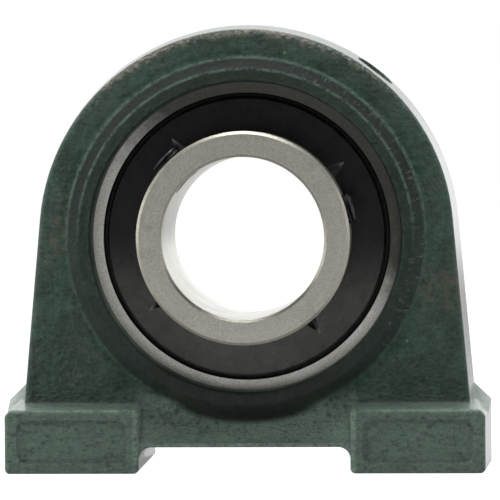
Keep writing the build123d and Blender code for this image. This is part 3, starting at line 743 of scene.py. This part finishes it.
def radial_frame(angle):
    """Unit vectors of a radial hole: along Y, square to it, and outwards."""
    turned = math.radians(angle)
    outward = np.array([math.cos(turned), 0.0, math.sin(turned)])
    aside = np.array([0.0, 1.0, 0.0])
    return aside, np.cross(outward, aside), outward


def around_axis(axes, origin, radius, around, height):
    """Point = origin + radius (cos a first + sin a second) + height third, for each entry."""
    first, second, third = axes
    flat = np.cos(around)[..., None] * first + np.sin(around)[..., None] * second
    return radius[..., None] * flat + height[..., None] * third + origin


print("mesh helpers ready")

# %% [markdown]
# Each set screw could be cut from a bar with a Screw modifier and a boolean hexagon.
# Instead it is one surface carried round its axis: the profile runs from the cup point
# over the threaded flank and the head into the hexagon socket. Its radius also depends
# on the angle, so one formula gives both the helix and the six flats.


# %% Set screws, threaded
SCREW_R, SCREW_LONG, SCREW_PITCH, SCREW_DEPTH = 4.0, 8.0, 1.0, 0.58
TIP_R, CUP = 2.6, 0.9                   # rim of the cup point, and the cup's depth
FACE_R, HEAD_BEVEL = 3.1, 0.5           # flat face of the head, and the bevel round it
HEX_FLAT, HEX_DEPTH, HEX_BEVEL = 2.0, 3.6, 0.15   # socket: axis to a flat, depth, bevel
CENTRE_R = 0.02                         # the tiny ring that closes each end
COLUMNS, FLANK_ROWS = 72, 130
SCREW_Y, TIP_AT = -25.2, SHAFT_R + 0.1  # along the shaft, and the point's radius from it
# A screw's slide points inwards along its axis, so its angle comes from the joint.
drives = {joint["child"]: joint["axis"] for joint in frame["joints"] if joint["type"] == "slide"}


def thread_wave(height, around, pitch):
    """0 at a crest and 1 at a root: a triangle wave of height over pitch, less the turn."""
    phase = (height / pitch - around / (2 * np.pi)) % 1.0
    return 1.0 - np.abs(2.0 * phase - 1.0)


def screw_surface(name, angle, body):
    """Radius = the chamfers' limit or R - depth x wave, whichever is smaller."""
    around = np.linspace(0, 2 * np.pi, COLUMNS, endpoint=False)[None, :]
    flank = np.linspace(0.05, SCREW_LONG - 0.02, FLANK_ROWS)[:, None]
    chamfers = np.minimum(np.minimum(TIP_R + flank, SCREW_R),
                          SCREW_R - HEAD_BEVEL + (SCREW_LONG - flank))
    flank_r = np.minimum(chamfers, SCREW_R - SCREW_DEPTH * thread_wave(flank, around, SCREW_PITCH))
    sector = (around + np.pi / 6) % (np.pi / 3) - np.pi / 6
    hexagon = HEX_FLAT / np.cos(sector)
    socket_floor = SCREW_LONG - HEX_DEPTH
    profile = [(CENTRE_R, CUP), (TIP_R, 0.0), (flank_r, flank), (FACE_R, SCREW_LONG),
               (hexagon + HEX_BEVEL, SCREW_LONG), (hexagon, SCREW_LONG - HEX_BEVEL),
               (hexagon, socket_floor), (CENTRE_R, socket_floor)]
    radius = np.concatenate([r + 0 * around for r, _ in profile])
    height = np.concatenate([h + 0 * around for _, h in profile])
    origin = np.array([0.0, SCREW_Y, 0.0])
    points = around_axis(radial_frame(angle), origin, radius, around, TIP_AT + height)
    rows, columns = radius.shape
    ends = [list(range(columns)), list(range((rows - 1) * columns, rows * columns))[::-1]]
    return link_mesh(name, points, tube_faces(rows, columns) + ends, screw_steel, body)


for node_name, inwards in drives.items():
    angle = math.degrees(math.atan2(-inwards[2], -inwards[0]))
    threaded = screw_surface(node_name + "_threaded", angle, node_name)
    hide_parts(node_name)
    print(node_name, "points", round(angle, 2), "degrees round the shaft")

# %% [markdown]
# The tapped holes keep their plain bore, because the casting's mesh isn't changed. A
# groove can't be laid on a wall, but a ridge can, and it catches the light in the same
# way: a thin ridge winds along the wall. Its section is a triangle, and it fades at both
# ends as a tap's run-out does.


# %% Ridges in the tapped holes
HALF_BASE, SUNK = 0.42, 0.04            # half the triangle's base over the pitch; mm in the wall
STEPS_PER_TURN = 40
BOLT_THREAD = {"pitch": 2.0, "depth": 0.45, "start": 2.2, "length": 20.0}
GREASE_THREAD = {"pitch": 0.75, "depth": 0.2, "start": 44.2, "length": 7.0}

bodies = frame["record"]["behaviour"]["bodies"]
housing_body = next(body for body, members in bodies.items() if "housing" in members)


def helix_ridge(name, axes, origin, bore, pitch, depth, start, length):
    """Triangle carried along a helix: angle = 2 pi height / pitch, crest fading at the ends."""
    turns = length / pitch
    share = np.linspace(0.0, 1.0, int(turns * STEPS_PER_TURN) + 1)[:, None]
    fade = np.clip(np.minimum(share, 1 - share) * turns * 1.5, 0.02, 1.0)
    offset = np.array([[-HALF_BASE, 0.0, HALF_BASE]]) * pitch
    radius = bore + SUNK - np.array([[0.0, 1.0, 0.0]]) * (depth * fade + SUNK)
    points = around_axis(axes, origin, radius, 2 * np.pi * turns * share,
                         start + length * share + offset)
    rows = len(share)
    ends = [[0, 1, 2], [rows * 3 - 1, rows * 3 - 2, rows * 3 - 3]]
    return link_mesh(name, points, tube_faces(rows, 3) + ends, bored_iron, housing_body)


upright = np.eye(3)
for side, x in (("left", -BOLT_X), ("right", BOLT_X)):
    helix_ridge("bolt_thread_" + side, upright, np.array([x, 0.0, BASE_Z]), BOLT_R, **BOLT_THREAD)
grease = mounts["grease_hole"]
grease_turn = math.degrees(math.atan2(grease["axis"][2], grease["axis"][0]))
grease_foot = np.array([0.0, grease["pos_m"][1] / MM, 0.0])
helix_ridge("grease_thread", radial_frame(grease_turn), grease_foot, grease["dims"]["r_mm"],
            **GREASE_THREAD)
print("tapped holes ridged on", housing_body)

# %% [markdown]
# The pieces from the CAD frame keep their shapes and get their finishes. A finish could
# be picked by order or by size, but a name says what is meant. Every node that isn't
# listed is a ball.


# %% Finishes on the CAD nodes
finish_of = {"housing": painted, "outer_ring": ring_steel, "inner_ring": ring_steel,
             "cage_front": cage_steel, "cage_rear": cage_steel, "cage_rivets": cage_steel,
             "seal_core_front": seal_steel, "seal_core_rear": seal_steel,
             "seal_lip_front": rubber, "seal_lip_rear": rubber,
             "slinger_front": black, "slinger_rear": black,
             "set_screw_1": screw_steel, "set_screw_2": screw_steel}
for name, node in nodes.items():
    node.data.materials.clear()
    node.data.materials.append(finish_of.get(name, ball_steel))
print("finishes on", len(nodes), "nodes")

# %% [markdown]
# The studio is white all round where the camera or a clear ray looks straight at it. A
# plain white world would light the object from everywhere and leave it flat, so this
# one adds next to nothing to the light that falls on it. To a reflection it is brighter
# towards the back, which draws the light streaks on the side walls.


# %% Studio: surround
world = bpy.data.worlds.new("studio")
bpy.context.scene.world = world
world.use_nodes = True
tree = world.node_tree
sees = put(tree, "LightPath").outputs
aim = split(tree, put(tree, "TexCoord").outputs["Generated"])
mirrored = product(tree, sees["Is Glossy Ray"], ramp(tree, aim["Y"], -0.25, 0.35, 0.0, 1.5))
dim = product(tree, maths(tree, "SUBTRACT", 1.0, sees["Is Glossy Ray"]), 0.02)
strength = largest(tree, maths(tree, "ADD", mirrored, dim),
                   sees["Is Camera Ray"], sees["Is Transmission Ray"])
feed(tree, tree.nodes["Background"].inputs, {"Color": (1, 1, 1, 1), "Strength": strength})
print("world", world.name)

# %% [markdown]
# Much of the light on the lower half comes back from a white floor. Paint alone would
# leave the floor greyer than the surround, and a line would show where they meet. So it
# glows where it is looked at, and a little where it is mirrored, and still takes a soft
# shadow from its painted share.


# %% Studio: floor
HALF_FLOOR = 3.0                        # metres
level = cad_box[0][2]
floor_mesh = bpy.data.meshes.new("floor")
floor_mesh.from_pydata([(-HALF_FLOOR, -HALF_FLOOR, level), (HALF_FLOOR, -HALF_FLOOR, level),
                        (HALF_FLOOR, HALF_FLOOR, level), (-HALF_FLOOR, HALF_FLOOR, level)],
                       [], [(0, 1, 2, 3)])
floor = bpy.data.objects.new("floor", floor_mesh)
bpy.context.scene.collection.objects.link(floor)

pale, tree, skin = new_material("studio_floor")
feed(tree, skin, {"Base Color": (0.82, 0.82, 0.82, 1), "Roughness": 0.9, "Specular IOR Level": 0.0})
glow = put(tree, "Emission", {"Color": (1, 1, 1, 1), "Strength": 1.2}).outputs[0]
sees = put(tree, "LightPath").outputs
direct = largest(tree, sees["Is Camera Ray"], sees["Is Transmission Ray"])
share = largest(tree, product(tree, direct, 0.85), product(tree, sees["Is Glossy Ray"], 0.35))
plain = tree.nodes["Principled BSDF"].outputs[0]
both = put(tree, "MixShader", {0: share, 1: plain, 2: glow}).outputs[0]
tree.links.new(both, tree.nodes["Material Output"].inputs["Surface"])
floor_mesh.materials.append(pale)
print("floor at", round(level, 4), "m")

# %% [markdown]
# Large soft lamps suit a dark glossy casting: a small one would leave a hard spot on
# each rounded edge. One hangs overhead, one stands above and in front, and one low at
# each side. The left one is the stronger, so the right flank is darker.


# %% Studio: lamps
def soft_lamp(name, azimuth, elevation, watts, distance=1.0, size=0.5):
    """A square lamp aimed at the origin; azimuth 0 is in front, + is to the right."""
    a, e = math.radians(azimuth), math.radians(elevation)
    spot = (distance * math.sin(a) * math.cos(e), -distance * math.cos(a) * math.cos(e),
            distance * math.sin(e))
    lamp = bpy.data.lights.new(name, "AREA")
    lamp.shape = "RECTANGLE"
    lamp.size = lamp.size_y = size
    lamp.energy = watts
    thing = bpy.data.objects.new(name, lamp)
    bpy.context.scene.collection.objects.link(thing)
    thing.location = spot
    thing.rotation_euler = (-Vector(spot)).to_track_quat("-Z", "Y").to_euler()
    thing.visible_camera = False


soft_lamp("overhead", 180, 85, 9.4)
soft_lamp("front", 0, 60, 4.2)
soft_lamp("left", -75, 12, 4.2)
soft_lamp("right", 75, 12, 1.6)
print("four lamps")

# %% [markdown]
# The camera stands a little over a metre away, three degrees to the right and a degree
# and a half above the shaft, with a long lens. A short lens close by would swell the
# front of the bearing and hide the side walls behind it. The camera leans by a third of
# a degree, and the lens is shifted, not turned, to place the object in the picture,
# which keeps upright edges upright.


# %% Camera
DISTANCE, AZIMUTH, ELEVATION = 1.080, math.radians(3.03), math.radians(1.56)
ROLL = math.radians(-0.35)
FOCAL_PX, PICTURE_PX = 4276.0, 500      # focal length and picture width, in pixels
SHIFT_PX = (1.0, -14.9)                 # shift to the right and up, in pixels
lens = bpy.data.cameras.new("camera")
lens.sensor_width = 36.0
lens.lens = FOCAL_PX / PICTURE_PX * lens.sensor_width
lens.shift_x, lens.shift_y = SHIFT_PX[0] / PICTURE_PX, SHIFT_PX[1] / PICTURE_PX
lens.clip_start, lens.clip_end = 0.01, 20.0
camera = bpy.data.objects.new("camera", lens)
bpy.context.scene.collection.objects.link(camera)
camera.location = (DISTANCE * math.sin(AZIMUTH) * math.cos(ELEVATION),
                   -DISTANCE * math.cos(AZIMUTH) * math.cos(ELEVATION),
                   DISTANCE * math.sin(ELEVATION))
upright_turn = (-camera.location).to_track_quat("-Z", "Y").to_matrix()
camera.rotation_euler = (upright_turn @ Matrix.Rotation(ROLL, 3, "Z")).to_euler()
bpy.context.scene.camera = camera
bpy.context.scene.view_settings.view_transform = "Standard"
print("lens", round(lens.lens, 1), "mm")
